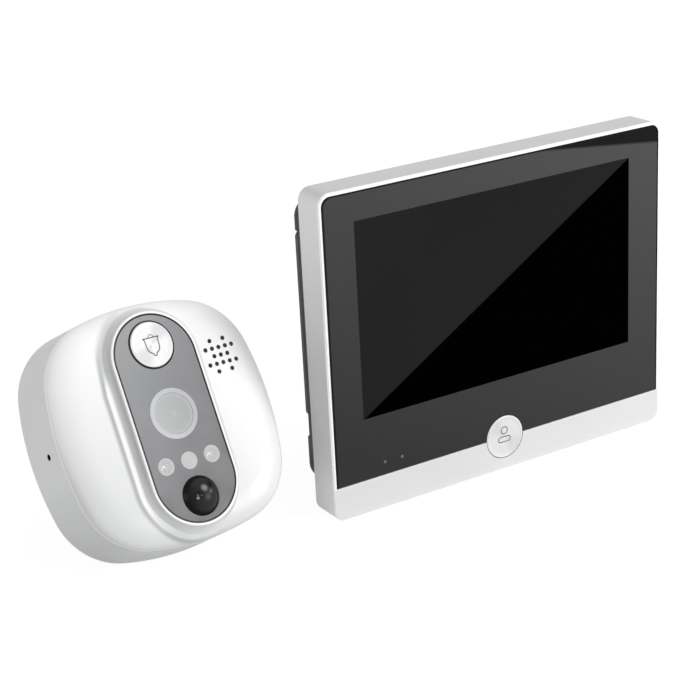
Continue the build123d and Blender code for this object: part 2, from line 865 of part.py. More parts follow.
def station_rear_base():
    front = Pos(0, 0, seam) * station_outline(0)
    back = Pos(0, 0, station_rear) * station_outline(base_flare)
    base = loft([front, back], ruled=True)
    base = fillet(edges_at(base, station_rear), base_round)
    base = chamfer(edges_at(base, seam), seam_bevel)
    base = base - slab(station_outline(-station_wall), base_floor, seam)
    tongue_out = station_outline(-station_wall - fit_gap)
    tongue_in = station_outline(-station_wall - fit_gap - tongue_wall)
    tongue = slab(tongue_out, seam - tongue_height, seam + tongue_height)
    tongue = tongue - slab(tongue_in, seam - tongue_height, seam + tongue_height)
    wall = slab(station_outline(-station_wall / 2), seam - 2 * tongue_height, seam - tongue_height)
    wall = wall - slab(tongue_in, seam - 2 * tongue_height, seam - tongue_height)
    base = base + tongue + wall
    for x, y in post_places():
        base = base + disc(x, y, base_post_radius, base_floor, station_board_back)
    seat_face = Pos(0, 0, station_rear) * station_outline(-gasket_inset)
    hub = disc(0, station_y, gasket_hole, station_rear, station_rear + gasket_sink)
    recess = extrude(seat_face, amount=gasket_sink, dir=(0, 0, 1)) - hub
    base = base - recess
    for x, y in post_places():
        base = base - disc(x, y, screw_hole, station_rear, station_board_back)
        base = base - disc(x, y, screw_head_radius + fit_gap, station_rear,
                           station_rear + screw_sink)
    base = base - disc(0, station_y, tube_neck + bore_gap, station_rear, base_floor)
    sound = Pos(-station_half_width, side_hole_y, -side_hole_depth) * Rot(0, 90, 0)
    return base - sound * Cylinder(side_hole_radius, cutter_length)


def face_panel():
    panel = slab(stadium(panel_half_width - panel_gap, panel_bottom + panel_gap,
                         panel_top - panel_gap), flange_front, 0)
    holes = ((0, bell_y, bell_hole), (0, 0, camera_hole), (0, dome_y, dome_hole),
             (-lamp_x, lamp_y, lamp_hole), (lamp_x, lamp_y, lamp_hole), (0, lamp_y, lamp_hole))
    for x, y, radius in holes:
        panel = panel - disc(x, y, radius, flange_front, 0)
    return panel


# Depths of the pieces behind the bell button
bell_flange_front = flange_front - button_gap
bell_flange_back = bell_flange_front - bell_flange_thickness
bell_stem_back = bell_flange_back - bell_travel - slip_gap


def bell_button():
    flange = (bell_hole + bell_flange, bell_flange_front, bell_flange_back)
    return push_button(bell_y, bell_radius, bell_proud, flange, bell_stem_back)


def bell_switch_plunger():
    return disc(0, bell_y, plunger_radius, bell_stem_back - plunger_height, bell_stem_back)


def bell_switch_body():
    top = bell_stem_back - plunger_proud
    return switch_body(bell_y, top, station_board_front, bell_travel)


def camera_trim_ring():
    """The pale ring round the camera window, with a flange behind the panel."""
    outer = camera_hole - bore_gap
    inner = camera_hole - ring_width
    flange_back = flange_front - flange_thickness
    trim = disc(0, 0, outer, flange_front, 0)
    trim = trim + disc(0, 0, camera_hole + camera_flange, flange_back, flange_front)
    trim = trim - disc(0, 0, inner, window_back, 0)
    return trim - disc(0, 0, inner - ring_lip, flange_back, window_back)


def camera_window():
    radius = camera_hole - ring_width - bore_gap
    return disc(0, 0, radius, window_back, -window_sink)


def camera_module():
    return brick(0, 0, camera_block, station_board_front)


def camera_lens_barrel():
    """A stepped barrel with the seat that its front lens lies in."""
    back = station_board_front + camera_block[2]
    front = flange_front - flange_thickness - barrel_gap
    step = (front + back) / 2
    barrel = disc(0, 0, barrel_radius, back, step)
    barrel = barrel + disc(0, 0, barrel_radius - barrel_step, step, front)
    return barrel - disc(0, 0, lens_radius + bore_gap, front - lens_depth, front)


def camera_lens():
    """A small lens with a bulging front."""
    front = flange_front - flange_thickness - barrel_gap
    body = disc(0, 0, lens_radius, front - lens_depth, front + lens_bulge)
    ball = (lens_radius ** 2 + lens_bulge ** 2) / (2 * lens_bulge)
    return body & (Pos(0, 0, front + lens_bulge - ball) * Sphere(ball))


def small_window(x, length_behind):
    """A round window in the panel, with its flange behind it."""
    flange_back = flange_front - length_behind
    window = disc(x, lamp_y, lamp_hole - bore_gap, flange_front, -light_sink)
    return window + disc(x, lamp_y, lamp_hole + small_flange, flange_back, flange_front)


def infrared_led(x):
    """A domed lamp on its two legs, behind a window."""
    top = flange_front - flange_thickness - led_gap
    bottom = top - led_length
    body = disc(x, lamp_y, led_radius, bottom, top - led_radius)
    body = body + Pos(x, lamp_y, top - led_radius) * Sphere(led_radius)
    body = body + disc(x, lamp_y, led_radius + led_flange, bottom, bottom + 2 * led_flange)
    for side in (-1, 1):
        leg_x = x + side * leg_spread / 2
        body = body + disc(leg_x, lamp_y, leg_radius, station_board_front, bottom)
    return body


def light_sensor_guide():
    rod_back = station_board_front + chip_height + fit_gap
    guide = small_window(0, flange_thickness)
    return guide + disc(0, lamp_y, guide_radius, rod_back, flange_front - flange_thickness)


def light_sensor():
    return brick(0, lamp_y, (chip_size, chip_size, chip_height), station_board_front)


def pir_dome():
    """The black dome of the motion sensor: a hollow cap on a short skirt with a flange."""
    outer = dome_hole - bore_gap
    ball = (outer ** 2 + dome_height ** 2) / (2 * dome_height)
    centre = Pos(0, dome_y, dome_height - ball)
    back = flange_front - flange_thickness
    cap = (centre * Sphere(ball)) & disc(0, dome_y, outer, 0, dome_height + ball)
    shell = cap + disc(0, dome_y, outer, flange_front, 0)
    shell = shell + disc(0, dome_y, dome_hole + dome_flange, back, flange_front)
    inner = outer - dome_wall
    shell = shell - (centre * Sphere(ball - dome_wall) & disc(0, dome_y, inner, 0, dome_height))
    return shell - disc(0, dome_y, inner, back, 0)


def pir_sensor():
    """A round metal can on three legs behind the dome."""
    top = flange_front - flange_thickness - can_gap
    bottom = top - can_height
    can = disc(0, dome_y, can_radius, bottom, top)
    can = chamfer(edges_at(can, top), dome_wall / 2)
    can = can + disc(0, dome_y, can_radius + can_rim, bottom, bottom + can_rim)
    for step in range(can_legs):
        turn = 2 * pi * step / can_legs
        x = leg_spread * 2 * sin(turn)
        y = dome_y + leg_spread * 2 * cos(turn)
        can = can + disc(x, y, leg_radius, station_board_front, bottom)
    return can


def station_speaker():
    front = cavity_top - speaker_gap
    back = front - round_speaker_height
    body = disc(grid_x, grid_y, round_speaker_radius, back + round_speaker_height / 2, front)
    magnet = disc(grid_x, grid_y, magnet_radius, back, front)
    return body + magnet


def microphone_boot():
    """A rubber sleeve that holds the capsule against the side wall."""
    tube = Cylinder(boot_radius, boot_length) - Cylinder(microphone_radius, boot_length)
    return boot_place() * tube


def station_microphone():
    capsule = Cylinder(microphone_radius - bore_gap, microphone_height)
    return boot_place() * Pos(0, 0, (microphone_height - boot_length) / 2 + fit_gap) * capsule


def boot_place():
    wall = -station_half_width + station_wall + slip_gap
    return Pos(wall + boot_length / 2, side_hole_y, -side_hole_depth) * Rot(0, 90, 0)


def station_main_board():
    board = slab(station_outline(-station_board_inset), station_board_back, station_board_front)
    for x, y in post_places():
        board = board - disc(x, y, screw_hole, station_board_back, station_board_front)
    return board


def station_screws():
    """Four screws from the back through the base and the board into the cover's posts."""
    seat = station_rear + screw_sink
    tip = station_board_front + screw_bite - slip_gap
    return [screw(x, y, seat, tip) for x, y in post_places()]


def mounting_tube():
    """The tube that passes through the door, flanged inside the base."""
    end = station_rear - tube_length
    tube = disc(0, station_y, tube_radius, end, base_floor)
    tube = chamfer(edges_at(tube, end), tube_bevel)
    tube = tube + disc(0, station_y, tube_neck, station_rear, base_floor)
    flange = disc(0, station_y, tube_flange, base_floor, base_floor + tube_flange_thickness)
    return tube + flange - disc(0, station_y, tube_bore, end, base_floor + tube_flange_thickness)


def rear_gasket():
    """The soft pad between the base and the door, with holes for the tube and the screws."""
    back = station_rear - gasket_thickness + gasket_sink
    face = station_outline(-gasket_inset - fit_gap)
    pad = slab(face, back, station_rear + gasket_sink)
    pad = pad - disc(0, station_y, gasket_hole + fit_gap, back, station_rear + gasket_sink)
    for x, y in post_places():
        hole = screw_head_radius + gasket_sink
        pad = pad - disc(x, y, hole, back, station_rear + gasket_sink)
    return pad


def station_place():
    """The station leans back until its rear edge and its tube's end both touch the floor."""
    roll = radians(station_roll)
    arc_middle = station_y + end_bow - station_half_height
    edge_y = arc_middle * cos(roll) - end_bow - base_flare + base_round
    edge_z = station_rear + base_round
    tip_y = station_y * cos(roll) - tube_radius + tube_bevel
    tip_z = station_rear - tube_length
    reach = hypot(edge_y - tip_y, edge_z - tip_z)
    lean = atan2(tip_y - edge_y, edge_z - tip_z) + asin(base_round / reach)
    height = base_round - edge_y * cos(lean) - edge_z * sin(lean)
    turn = Rot(0, 0, station_yaw) * Rot(90 - degrees(lean), 0, 0) * Rot(0, 0, -station_roll)
    return Pos(station_x, glass_y + station_back, height) * turn


def monitor_place():
    """The monitor stands on its bottom face, whose middle is the row's origin."""
    return Pos(0, glass_y, frame_bottom) * Rot(90, 0, 0)


monitor_pieces = {
    "monitor_front_frame": monitor_front_frame,
    "monitor_glass": monitor_glass,
    "glass_adhesive": glass_adhesive,
    "lcd_panel": lcd_panel,
    "lcd_chassis": lcd_chassis,
    "view_button": view_button,
    "view_switch_plunger": view_switch_plunger,
    "view_switch_body": view_switch_body,
    "button_board": button_board,
    "indicator_light_left": lambda: indicator_light(light_x[0]),
    "indicator_light_right": lambda: indicator_light(light_x[1]),
    "monitor_rear_housing": monitor_rear_housing,
    "wall_bracket": wall_bracket,
    "housing_screws": housing_screws,
    "monitor_main_board": monitor_main_board,
    "board_screws": board_screws,
    "battery_pack": battery_pack,
    "processor_shield": processor_shield,
    "ribbon_socket": ribbon_socket,
    "usb_port": usb_port,
    "card_slot": card_slot,
    "power_switch_body": power_switch_body,
    "power_switch_slider": power_switch_slider,
    "monitor_speaker": monitor_speaker,
    "monitor_microphone": monitor_microphone,
}

station_pieces = {
    "station_front_cover": station_front_cover,
    "station_rear_base": station_rear_base,
    "face_panel": face_panel,
    "bell_button": bell_button,
    "bell_switch_plunger": bell_switch_plunger,
    "bell_switch_body": bell_switch_body,
    "camera_trim_ring": camera_trim_ring,
    "camera_window": camera_window,
    "camera_module": camera_module,
    "camera_lens_barrel": camera_lens_barrel,
    "camera_lens": camera_lens,
    "infrared_window_left": lambda: small_window(-lamp_x, flange_thickness),
    "infrared_window_right": lambda: small_window(lamp_x, flange_thickness),
    "infrared_led_left": lambda: infrared_led(-lamp_x),
    "infrared_led_right": lambda: infrared_led(lamp_x),
    "light_sensor_guide": light_sensor_guide,
    "light_sensor": light_sensor,
    "pir_dome": pir_dome,
    "pir_sensor": pir_sensor,
    "station_speaker": station_speaker,
    "microphone_boot": microphone_boot,
    "station_microphone": station_microphone,
    "station_main_board": station_main_board,
    "station_screws": station_screws,
    "mounting_tube": mounting_tube,
    "rear_gasket": rear_gasket,
}


def solids_of(made):
    """The separate solids of one piece, or of a set of like pieces."""
    made = made if isinstance(made, list) else [made]
    return [solid for shape in made for solid in shape.solids()]


os.makedirs("parts", exist_ok=True)
for place, pieces in ((monitor_place(), monitor_pieces), (station_place(), station_pieces)):
    for name, make in pieces.items():
        placed = [place * solid for solid in solids_of(make())]
        export_step(Compound(children=placed) if len(placed) > 1 else placed[0],
                    os.path.join("parts", name + ".step"))
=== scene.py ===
import json
import math

import bpy
import bmesh
from mathutils import Matrix, Vector


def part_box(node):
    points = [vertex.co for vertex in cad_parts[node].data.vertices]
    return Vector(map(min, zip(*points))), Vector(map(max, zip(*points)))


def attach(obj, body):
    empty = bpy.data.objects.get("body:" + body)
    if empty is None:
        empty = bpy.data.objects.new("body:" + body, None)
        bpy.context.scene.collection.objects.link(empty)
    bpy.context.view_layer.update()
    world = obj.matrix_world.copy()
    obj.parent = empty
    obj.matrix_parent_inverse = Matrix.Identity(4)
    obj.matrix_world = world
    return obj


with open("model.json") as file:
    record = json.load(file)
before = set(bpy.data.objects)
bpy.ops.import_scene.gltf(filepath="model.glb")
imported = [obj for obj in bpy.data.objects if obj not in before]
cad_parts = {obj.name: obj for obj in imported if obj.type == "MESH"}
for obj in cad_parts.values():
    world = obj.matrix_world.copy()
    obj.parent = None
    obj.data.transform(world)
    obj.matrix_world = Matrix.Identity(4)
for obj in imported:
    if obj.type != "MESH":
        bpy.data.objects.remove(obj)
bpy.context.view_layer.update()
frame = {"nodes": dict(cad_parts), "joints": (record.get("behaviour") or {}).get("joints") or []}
nodes = frame["nodes"]
MM = 0.001

# Sizes in millimetres that tones, icons and screws share, each in its unit's own frame.
# An outline is left, right, low, high and the radius of its corners.
FRAME = (-58.1, 58.1, -51.0, 42.2, 3.6)
STRIP_TOP = -41.0                       # upper edge of the plain strip under the glass
SCREEN = (-47.3, 46.3, -23.04, 33.12)   # the display's lit area
VIEW_Y, VIEW_FACE = -40.9, 0.25         # the view button's middle and the height of its face
PANE = (-11.7, 11.7, -29.15, 26.9, 11.7)
BELL_Y, BELL_FACE = 18.85, 0.20
LAMP_X, LAMP_Y = 6.9, -12.8             # windows over the infrared lamps
DOME_Y = -22.4
SPEAKER_X, SPEAKER_Y, SPEAKER_FIELD = 20.05, 11.9, 6.5
MICROPHONE_Y, MICROPHONE_Z = -1.2, -11.4
HOUSING_SCREWS, HOUSING_SCREW_HEAD = [(-46.0, -38.6), (46.0, -38.6)], -14.8
STATION_SCREW_OFF, STATION_SCREW_DOWN, STATION_SCREW_HEAD = 21.63, 1.3, -19.6

# The monitor's own frame (x right, y up, z towards the viewer) in the row frame. Its origin
# lies in the face of the glass, 51 mm above the floor.
glass_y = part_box("monitor_glass")[0].y
upright = Matrix.Rotation(math.radians(90), 4, "X")
monitor_place = Matrix.Translation(Vector((0, glass_y, 51.0 * MM))) @ upright


def centre(node):
    low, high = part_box(node)
    return (Vector(low) + Vector(high)) / 2


# The door station's own frame: z against the stroke of its button, x from one infrared
# window to the other, with its origin in the middle of the camera window's face.
press = [j for j in frame["joints"] if j["name"] == "bell_press"][0]
station_z = -Vector(press["axis"]).normalized()
across = centre("infrared_window_right") - centre("infrared_window_left")
station_y = station_z.cross(across).normalized()
station_x = station_y.cross(station_z)
station_middle = Vector((-99.55 * MM, glass_y + 8.7 * MM, 41.0134 * MM))
station_turn = Matrix((station_x, station_y, station_z)).transposed().to_4x4()
station_place = Matrix.Translation(station_middle) @ station_turn


def rgb(text):
    """An sRGB hex colour as linear values."""
    out = []
    for i in (0, 2, 4):
        c = int(text[i:i + 2], 16) / 255
        out.append(c / 12.92 if c <= 0.04045 else ((c + 0.055) / 1.055) ** 2.4)
    return tuple(out)


def shade(color, k):
    return tuple(min(1.0, c * k) for c in color)


class Shader:
    """A principled material whose colour, roughness and bump come from procedural nodes."""

    def __init__(self, name, rough, metallic=0.0, coat=0.0, specular=0.5):
        self.mat = bpy.data.materials.new(name)
        self.mat.use_nodes = True
        self.tree = self.mat.node_tree
        self.bsdf = self.tree.nodes["Principled BSDF"]
        inputs = self.bsdf.inputs
        inputs["Roughness"].default_value = rough
        inputs["Metallic"].default_value = metallic
        inputs["Coat Weight"].default_value = coat
        inputs["Coat Roughness"].default_value = 0.1
        inputs["Specular IOR Level"].default_value = specular
        surface = self.tree.nodes.new("ShaderNodeTexCoord")
        self.coords = surface.outputs["Object"]
        self.normals = surface.outputs["Normal"]
        self.rough = rough

    def node(self, kind, **values):
        n = self.tree.nodes.new(kind)
        for key, value in values.items():
            setattr(n, key, value)
        return n

    def link(self, a, b):
        self.tree.links.new(a, b)

    def noise(self, size_mm, detail=3.0, stretch=(1, 1, 1)):
        """Noise whose blotches are about size_mm across; stretch scales the axes."""
        n = self.node("ShaderNodeTexNoise")
        n.inputs["Scale"].default_value = 1.0
        n.inputs["Detail"].default_value = detail
        m = self.node("ShaderNodeMapping")
        m.inputs["Scale"].default_value = [v / (size_mm * MM) for v in stretch]
        self.link(self.coords, m.inputs["Vector"])
        self.link(m.outputs["Vector"], n.inputs["Vector"])
        return n.outputs["Fac"]

    def remap(self, value, lo, hi, a=0.3, b=0.7, soft=False):
        """Map a..b to lo..hi, straight or with soft ends, and hold beyond."""
        m = self.node("ShaderNodeMapRange")
        if soft:
            m.interpolation_type = "SMOOTHSTEP"
        for key, v in (("From Min", a), ("From Max", b), ("To Min", lo), ("To Max", hi)):
            m.inputs[key].default_value = v
        self.link(value, m.inputs["Value"])
        return m.outputs["Result"]

    def rise(self, value, a, b, top=1.0, soft=False):
        """A mask that grows from nothing at a to its top at b."""
        return self.remap(value, 0.0, top, a, b, soft)

    def fall(self, value, a, b, top=1.0, soft=False):
        """A mask that sinks from its top at a to nothing at b."""
        return self.remap(value, top, 0.0, a, b, soft)

    def band(self, value, a, b, c, d, soft=False):
        """A mask that grows from a to b and sinks from c to d."""
        return self.math("MINIMUM", self.rise(value, a, b, soft=soft),
                         self.fall(value, c, d, soft=soft))

    def math(self, op, a, b=None):
        m = self.node("ShaderNodeMath", operation=op)
        for i, v in enumerate((a, b)):
            if v is None:
                continue
            if isinstance(v, (int, float)):
                m.inputs[i].default_value = v
            else:
                self.link(v, m.inputs[i])
        return m.outputs["Value"]

    def both(self, mask, *others):
        """The product of masks: 1 where all of them are."""
        for other in others:
            mask = self.math("MULTIPLY", mask, other)
        return mask

    def plus(self, a, b, times):
        """a plus so many times b."""
        return self.math("ADD", a, self.math("MULTIPLY", b, times))

    def mix(self, fac, a, b):
        """Colour mix; a and b are colours (3 numbers) or sockets."""
        m = self.node("ShaderNodeMix", data_type="RGBA")
        self.link(fac, m.inputs["Factor"])
        for sock, v in ((m.inputs[6], a), (m.inputs[7], b)):
            if isinstance(v, (tuple, list)):
                sock.default_value = (*v, 1.0)
            else:
                self.link(v, sock)
        return m.outputs[2]

    def color(self, socket):
        self.link(socket, self.bsdf.inputs["Base Color"])

    def overlay(self, mask, color):
        """Lay a colour over the base colour where the mask is 1."""
        painted = self.bsdf.inputs["Base Color"].links[0].from_socket
        self.color(self.mix(mask, painted, color))

    def roughness(self, size_mm, spread):
        lo, hi = max(0.0, self.rough - spread), min(1.0, self.rough + spread)
        self.link(self.remap(self.noise(size_mm), lo, hi), self.bsdf.inputs["Roughness"])

    def bump(self, height, depth_mm, strength):
        b = self.node("ShaderNodeBump")
        b.inputs["Strength"].default_value = strength
        b.inputs["Distance"].default_value = depth_mm * MM
        self.link(height, b.inputs["Height"])
        if self.bsdf.inputs["Normal"].is_linked:
            self.link(self.bsdf.inputs["Normal"].links[0].from_socket, b.inputs["Normal"])
        self.link(b.outputs["Normal"], self.bsdf.inputs["Normal"])

    def dot(self, vector, way):
        d = self.node("ShaderNodeVectorMath", operation="DOT_PRODUCT")
        self.link(vector, d.inputs[0])
        d.inputs[1].default_value = list(way)
        return d.outputs["Value"]

    def axis(self, place, which):
        """One coordinate, in millimetres, of a unit's own frame."""
        turn = place.inverted()
        along = self.dot(self.coords, [v / MM for v in turn[which][:3]])
        return self.math("ADD", along, turn[which][3] / MM)

    def facing(self, way):
        """How far the surface faces one way, from -1 to 1."""
        return self.dot(self.normals, way)

    def length(self, a, b):
        squares = self.math("ADD", self.math("MULTIPLY", a, a), self.math("MULTIPLY", b, b))
        return self.math("SQRT", squares)

    def around(self, place, x, y):
        """Distance in millimetres from an axis that stands on a unit's face."""
        dx = self.math("SUBTRACT", self.axis(place, 0), x)
        dy = self.math("SUBTRACT", self.axis(place, 1), y)
        return self.length(dx, dy)

    def sweep(self, place, y, turn):
        """A sheen that comes and goes twice round an axis at x = 0, from 0 to 1."""
        dy = self.math("SUBTRACT", self.axis(place, 1), y)
        angle = self.math("ARCTAN2", dy, self.axis(place, 0))
        angle = self.math("ADD", self.math("MULTIPLY", angle, 2.0), math.radians(turn))
        return self.remap(self.math("COSINE", angle), 0.0, 1.0, -1.0, 1.0)

    def outline(self, place, x0, x1, y0, y1, radius):
        """Distance in millimetres from a rounded outline, negative inside it."""
        sides = []
        for which, low, high in ((0, x0, x1), (1, y0, y1)):
            off = self.math("SUBTRACT", self.axis(place, which), (low + high) / 2)
            off = self.math("ABSOLUTE", off)
            sides.append(self.math("ADD", off, radius - (high - low) / 2))
        past = [self.math("MAXIMUM", side, 0.0) for side in sides]
        inner = self.math("MINIMUM", self.math("MAXIMUM", sides[0], sides[1]), 0.0)
        return self.math("ADD", self.math("ADD", self.length(*past), inner), -radius)


def plain(name, hex_color, rough, grain_mm, depth_mm, vary, patch_mm, spread=0.06, speck=0.0,
          **more):
    """Moulded or painted surface: slow colour drift, uneven sheen and a fine grain."""
    s = Shader(name, rough, **more)
    base = rgb(hex_color)
    drift = s.remap(s.noise(patch_mm, detail=4.0), 0.0, 1.0)
    col = s.mix(drift, shade(base, 1 - vary), shade(base, 1 + vary))
    if speck:
        fleck = s.rise(s.noise(grain_mm * 1.3, detail=1.0), 0.55, 0.75)
        col = s.mix(s.math("MULTIPLY", fleck, speck), col, shade(base, 1.3))
    s.color(col)
    s.roughness(patch_mm * 0.4, spread)
    if depth_mm:
        s.bump(s.noise(grain_mm, detail=2.0), depth_mm, 0.5)
    return s


def brushed(name, hex_color, rough, size_mm=0.12):
    """Metal with fine lines along x."""
    s = Shader(name, rough, metallic=1.0)
    lines = s.noise(size_mm, stretch=(0.02, 1.0, 1.0))
    base = rgb(hex_color)
    s.color(s.mix(s.remap(lines, 0.0, 1.0), shade(base, 0.86), shade(base, 1.08)))
    s.link(s.remap(lines, max(0.02, rough - 0.1), rough + 0.12), s.bsdf.inputs["Roughness"])
    s.bump(lines, 0.004, 0.5)
    return s


def assign(material, *names):
    for name in names:
        data = nodes[name].data
        data.materials.clear()
        data.materials.append(material.mat)


def silver_frame():
    """Silver frame of the monitor, with painted highlights on the edges round the glass and the
    strip.
    """
    s = plain("silver_paint", "e0e0e0", rough=0.42, grain_mm=0.22, depth_mm=0.006, vary=0.015,
              patch_mm=30, speck=0.25)
    edge = s.outline(monitor_place, *FRAME)
    height = s.axis(monitor_place, 1)
    depth = s.axis(monitor_place, 2)

    # Painted shade: all walls darker than the front, less so at the top; then painted light and
    # shade on the side walls: lighter above and at the foot, darker between.
    walls = s.fall(s.facing((0, -1, 0)), 0.2, 0.5)
    s.overlay(walls, s.mix(s.rise(height, 38.0, 42.0), rgb("d3d5d4"), rgb("dcdcdc")))
    sides = s.rise(s.math("ABSOLUTE", s.facing((1, 0, 0))), 0.5, 0.9)
    s.overlay(s.both(sides, s.rise(height, -8.0, 48.0, soft=True)), rgb("f0f0f0"))
    middle = s.math("MINIMUM", s.fall(height, -12.0, 8.0, soft=True),
                    s.rise(height, -40.0, -24.0, soft=True))
    s.overlay(s.both(sides, middle), rgb("c8c9c8"))
    s.overlay(s.both(sides, s.fall(height, -46.0, -30.0, soft=True)), rgb("ebebeb"))

    # Painted highlights along the edges: inside the rim above the strip, on the outer edge and
    # along the strip.
    wide = s.both(s.rise(edge, -1.15, -1.05), s.rise(height, STRIP_TOP, STRIP_TOP + 0.1))
    thin = s.rise(edge, -0.5, -0.3, 0.8)
    lip = s.both(s.rise(height, STRIP_TOP - 0.35, STRIP_TOP - 0.2, 0.9),
                 s.fall(height, STRIP_TOP + 0.05, STRIP_TOP + 0.1))
    painted_highlight = s.math("MAXIMUM", wide, s.math("MAXIMUM", thin, lip))
    s.overlay(s.both(painted_highlight, s.rise(depth, -0.25, -0.1)), rgb("fdfdfd"))

    # Painted shade in the gap between the rim and the glass.
    gap = s.both(s.fall(edge, -0.95, -0.86), s.rise(height, STRIP_TOP + 0.1, STRIP_TOP + 0.2),
                 s.rise(depth, -1.2, -1.1))
    s.overlay(gap, rgb("141415"))
    return s


def white_cover():
    """Satin white cover of the door station, with painted shade and highlights in the cove round
    its surround.

    The ridge is the distance from the panel: the white rim with its painted highlight comes
    first, then the steep side in painted shade, the hollow with a painted highlight and the
    crease in painted shade where the cove runs out into the cover.
    """
    s = plain("white_satin", "f1f1f1", rough=0.33, grain_mm=0.3, depth_mm=0.003, vary=0.01,
              patch_mm=25)
    x = s.axis(station_place, 0)
    y = s.axis(station_place, 1)
    # Painted shade: darker towards the lower left, lighter towards the upper right.
    s.color(s.mix(s.rise(s.plus(y, x, 0.55), -32.0, 16.0), rgb("dedfdf"), rgb("fefefe")))
    ridge = s.outline(station_place, *PANE)
    leftward = s.plus(x, y, 0.3)

    # Painted shade on the steep side, narrower and fainter towards the lower end.
    nearer = s.math("ADD", ridge, s.fall(y, -26.0, -14.0, 0.8))
    steep = s.math("MINIMUM", s.rise(ridge, 0.75, 1.05), s.fall(nearer, 1.3, 2.9))
    steep = s.both(steep, s.remap(y, 1.0, 0.45, 16.0, 28.0), s.remap(y, 0.6, 1.0, -26.0, -12.0))
    s.overlay(steep, rgb("b6b7b8"))

    # Painted highlight in the hollow and painted shade in the crease on the left side; the
    # crease comes nearer at the upper end.
    hollow = s.both(s.band(ridge, 2.2, 2.9, 3.4, 4.2, soft=True), s.rise(y, -26.0, -21.0),
                    s.fall(y, 9.5, 13.5), s.fall(leftward, -14.0, -3.0, 0.8))
    s.overlay(hollow, rgb("ffffff"))
    further = s.math("ADD", ridge, s.rise(y, 9.0, 17.0))
    crease = s.both(s.band(further, 3.6, 4.3, 4.5, 5.7, soft=True), s.fall(y, 18.0, 24.0),
                    s.fall(leftward, -12.0, -2.0))
    s.overlay(crease, rgb("afb0b1"))

    # Painted shade at both ends of the left side, where the steep side and the crease run
    # together.
    ends = s.math("MAXIMUM", s.rise(y, 11.0, 15.0, 0.6), s.fall(y, -28.0, -23.0, 0.45))
    ends = s.both(ends, s.fall(x, -10.0, -4.0), s.band(ridge, 1.0, 2.0, 3.4, 4.8))
    s.overlay(ends, rgb("c2c3c3"))

    # Painted shade as a thin line beside the rim on the right, a painted highlight on the white
    # rim, and painted shade in the joint round the panel.
    line = s.both(s.band(ridge, 0.85, 1.1, 1.4, 2.2), s.rise(x, 4.0, 10.0))
    s.overlay(line, rgb("9b9c9d"))
    s.overlay(s.fall(ridge, 0.75, 0.95), rgb("ffffff"))
    joint = s.math("ADD", ridge, s.remap(x, -0.1, 0.02, -9.0, 9.0))
    s.overlay(s.fall(joint, 0.22, 0.26), rgb("1c1c1d"))

    # Painted shade towards the base at the lower end, and in the walls of the speaker's holes.
    seam = s.fall(s.axis(station_place, 2), -5.2, -3.2, 0.55, soft=True)
    s.overlay(s.both(seam, s.fall(y, -18.0, 4.0)), rgb("c4c5c5"))
    walls = s.fall(s.facing(station_z), 0.5, 0.7)
    beside = s.around(station_place, SPEAKER_X, SPEAKER_Y)
    beside = s.fall(beside, SPEAKER_FIELD, SPEAKER_FIELD + 0.1)
    s.overlay(s.both(walls, beside), rgb("9c9c9d"))
    return s


def silver_base():
    """Base of the door station, with painted shade below and a painted highlight along its
    joint.
    """
    s = plain("silver_base", "cfd0d1", rough=0.45, grain_mm=0.22, depth_mm=0.007, vary=0.02,
              patch_mm=22, speck=0.25)
    x, y, z = (s.axis(station_place, which) for which in range(3))
    # Painted shade towards the lower end, and a painted highlight on the bevel along the joint.
    s.color(s.mix(s.fall(y, -28.0, -8.0), rgb("dddede"), rgb("c3c4c5")))
    s.overlay(s.rise(z, -5.95, -5.85), rgb("ffffff"))

    # Painted shade in the microphone's sound hole in the left side.
    up = s.math("SUBTRACT", y, MICROPHONE_Y)
    deep = s.math("SUBTRACT", z, MICROPHONE_Z)
    hole = s.fall(s.length(up, deep), 0.82, 0.9)
    s.overlay(s.both(hole, s.fall(x, -26.0, -25.0)), rgb("0c0c0d"))
    return s


def turned_button(name, hex_color, place, y, radius, dark, bright, turn):
    """A pale button with fine turned lines, the painted sheen of a turned face, a painted
    highlight near its edge and painted shade at its very edge.
    """
    s = plain(name, hex_color, rough=0.3, grain_mm=0.4, depth_mm=0.002, vary=0.008, patch_mm=6)
    away = s.around(place, 0.0, y)
    # Painted sheen, a painted highlight near the edge and painted shade in the gap at the very
    # edge.
    s.overlay(s.rise(s.sweep(place, y, turn), 0.55, 1.0, 0.8, soft=True), rgb(dark))
    s.overlay(s.rise(away, radius - 0.5, radius - 0.35), rgb(bright))
    s.overlay(s.rise(away, radius - 0.04, radius - 0.01), rgb("3a3a3b"))
    pitch = 0.16
    s.bump(s.math("SINE", s.math("MULTIPLY", away, 2 * math.pi / pitch)), 0.0012, 0.6)
    return s


def dark_housing():
    """Rear housing of the monitor, with its seam, painted shade along the rear edge and a
    painted sheen along the top.
    """
    s = plain("housing_black", "363637", rough=0.6, grain_mm=0.35, depth_mm=0.03, vary=0.08,
              patch_mm=12, spread=0.08)
    depth = s.axis(monitor_place, 2)
    seam = s.math("MINIMUM", s.rise(depth, -16.7, -16.4, 0.85), s.fall(depth, -15.6, -15.3))
    walls = s.fall(s.math("ABSOLUTE", s.facing((0, 1, 0))), 0.3, 0.6)
    s.overlay(s.both(seam, walls), rgb("080808"))
    # Painted shade along the rear edge and a painted sheen along the top.
    s.overlay(s.fall(depth, -17.95, -17.5, 0.6), rgb("161617"))
    s.overlay(s.rise(s.axis(monitor_place, 1), 34.0, 38.0, 0.7, soft=True), rgb("565657"))
    return s


